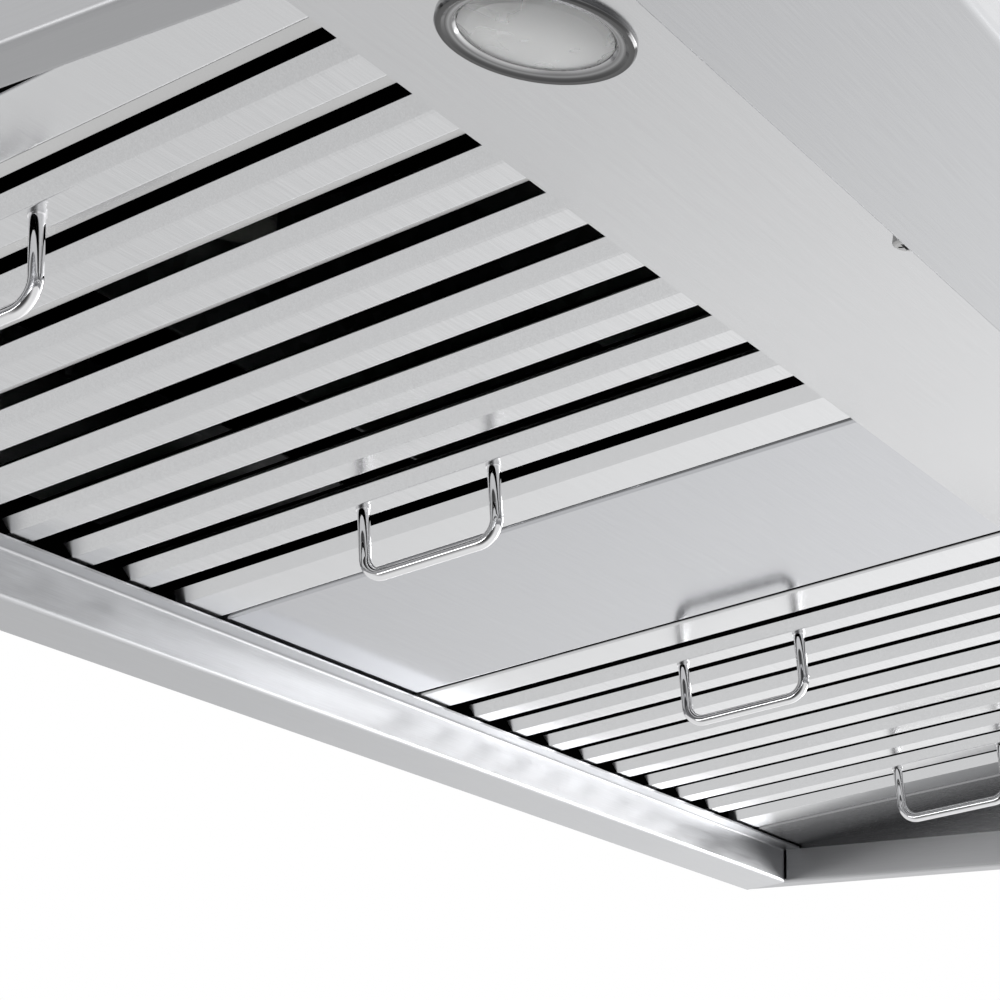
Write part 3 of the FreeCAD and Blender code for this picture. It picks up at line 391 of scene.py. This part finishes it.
# Steels with painted shade: the filter frames' inside, the upper baffles and the underside of the top panels
# are painted black where they lie in shade
SHADE_PAINTED_STEELS = {
    "frame_steel": dict(colour=(0.69, 0.694, 0.704), unshaded_side=DOWN, reach=WIDE_REACH, highest=PAINTED_SHADE_HEIGHT),
    "dulled_steel": dict(colour=(0.70, 0.70, 0.70), unshaded_side=LEFT_AND_DOWN, reach=NARROW_REACH),
    "black_steel": dict(colour=(0.50, 0.50, 0.50), unshaded_side=DOWN, reach=WIDE_REACH, highest=0.0),
    "canopy_steel": dict(colour=(0.60, 0.605, 0.615), unshaded_side=UP, reach=WIDE_REACH),
}
CHROMES = {
    "handle_chrome": dict(colour=(0.86, 0.86, 0.87), roughness=0.02),
    "reflector_aluminium": dict(colour=(0.92, 0.92, 0.92), roughness=0.45),
}
CAST_METALS = {
    "lamp_housing_aluminium": dict(colour=(0.42, 0.42, 0.43), roughness=0.5),
    "screw_steel": dict(colour=(0.50, 0.50, 0.50), roughness=0.42, scale=400.0),
}
PLASTICS = {
    "gasket_foam": dict(colour=(0.035, 0.035, 0.035), roughness=0.9, scale=700.0, relief=0.4),
    "bush_rubber": dict(colour=(0.025, 0.025, 0.025), roughness=0.75),
    "motor_paint": dict(colour=(0.05, 0.05, 0.055), roughness=0.42, scale=1200.0, relief=0.1),
    "capacitor_plastic": dict(colour=(0.72, 0.72, 0.69), roughness=0.45),
    "gland_plastic": dict(colour=(0.03, 0.03, 0.03), roughness=0.5),
    "control_plastic": dict(colour=(0.045, 0.045, 0.047), roughness=0.55),
    "board_plastic": dict(colour=(0.02, 0.13, 0.06), roughness=0.3, scale=300.0, relief=0.05),
}
MATERIAL_KINDS = (
    (brushed_steel, BRUSHED_STEELS),
    (shade_painted_steel, SHADE_PAINTED_STEELS),
    (polished_chrome, CHROMES),
    (ring_painted_chrome, {"bezel_chrome": dict(colour=(0.80, 0.80, 0.81))}),
    (lamp_glass, {"lamp_glass": dict(colour=(0.96, 0.965, 0.97))}),
    (galvanised, {"galvanised_steel": dict(colour=(0.55, 0.56, 0.57))}),
    (cast_metal, CAST_METALS),
    (plastic, PLASTICS),
)


def make_materials():
    return {name: make(name, **settings)
            for make, kind in MATERIAL_KINDS for name, settings in kind.items()}


def dress_nodes(materials):
    for row in frame["record"]["subparts"]:
        name = row["node"]
        finish = NODE_FINISHES.get(name, row["material_slot"])
        mesh = frame["nodes"][name].data
        mesh.materials.clear()
        mesh.materials.append(materials[finish])


# ---------- camera, sky, lights and floor ----------
def make_camera():
    right = CAMERA_RIGHT.normalized()
    back = right.cross(CAMERA_UP).normalized()
    up = back.cross(right)
    data = bpy.data.cameras.new("camera")
    data.sensor_width = SENSOR_MM
    data.lens = SENSOR_MM * CAMERA_FOCAL / PHOTO_SIZE
    camera = bpy.data.objects.new("camera", data)
    turn = Matrix((right, up, back)).transposed().to_4x4()
    camera.matrix_world = Matrix.Translation(CAMERA_PLACE) @ turn
    bpy.context.scene.collection.objects.link(camera)
    bpy.context.scene.camera = camera


def make_sky():
    """A soft sky: an even base, broad brighter or darker patches, and plain white behind the object."""
    world = bpy.data.worlds.new("studio")
    world.use_nodes = True
    bpy.context.scene.world = world
    nodes, links = world.node_tree.nodes, world.node_tree.links
    place = nodes.new("ShaderNodeTexCoord")
    base = nodes.new("ShaderNodeMath")
    base.inputs[0].default_value = SKY_BASE
    base.inputs[1].default_value = 0.0
    total = base.outputs[0]
    for direction, width, light in SKY_PATCHES.values():
        towards = Vector(direction).normalized()
        nearness = compared(nodes, links, "DOT_PRODUCT", place.outputs["Generated"], towards)
        edge = math.cos(math.radians(width))
        patch = ranged(nodes, links, nearness, 0.0, light, start=edge, end=1.0)
        patch.node.interpolation_type = "SMOOTHSTEP"
        total = joined(nodes, links, "ADD", total, patch)
    seen = nodes.new("ShaderNodeLightPath")
    mix = nodes.new("ShaderNodeMix")
    mix.inputs["B"].default_value = BACKDROP
    links.new(seen.outputs["Is Camera Ray"], mix.inputs["Factor"])
    links.new(total, mix.inputs["A"])
    links.new(mix.outputs["Result"], nodes["Background"].inputs["Color"])


def make_soft_boxes():
    """Area lights about the middle of the hood's rim."""
    middle = (cad_box[0] + cad_box[1]) / 2
    middle.z = cad_box[0].z
    for name, (direction, distance, size, watts) in SOFT_BOXES.items():
        light = bpy.data.lights.new(name, "AREA")
        light.shape = "RECTANGLE"
        light.size, light.size_y = size
        light.energy = watts
        box = bpy.data.objects.new(name, light)
        towards = Vector(direction).normalized()
        box.location = middle + distance * towards
        box.rotation_euler = towards.to_track_quat("Z", "Y").to_euler()
        box.visible_camera = False
        bpy.context.scene.collection.objects.link(box)


def make_floor():
    signs = ((-1, -1), (1, -1), (1, 1), (-1, 1))
    corners = [(x * FLOOR_HALF, y * FLOOR_HALF, FLOOR_HEIGHT) for x, y in signs]
    mesh = bpy.data.meshes.new("floor")
    mesh.from_pydata(corners, [], [(0, 1, 2, 3)])
    floor = bpy.data.objects.new("floor", mesh)
    bpy.context.scene.collection.objects.link(floor)
    mesh.materials.append(plastic("floor_paint", FLOOR_COLOUR, roughness=0.8, scale=40.0, relief=0.02))
    floor.visible_glossy = False


def main():
    dress_nodes(make_materials())
    make_camera()
    make_sky()
    make_soft_boxes()
    make_floor()


main()
bpy.context.scene.view_settings.view_transform = "Standard"
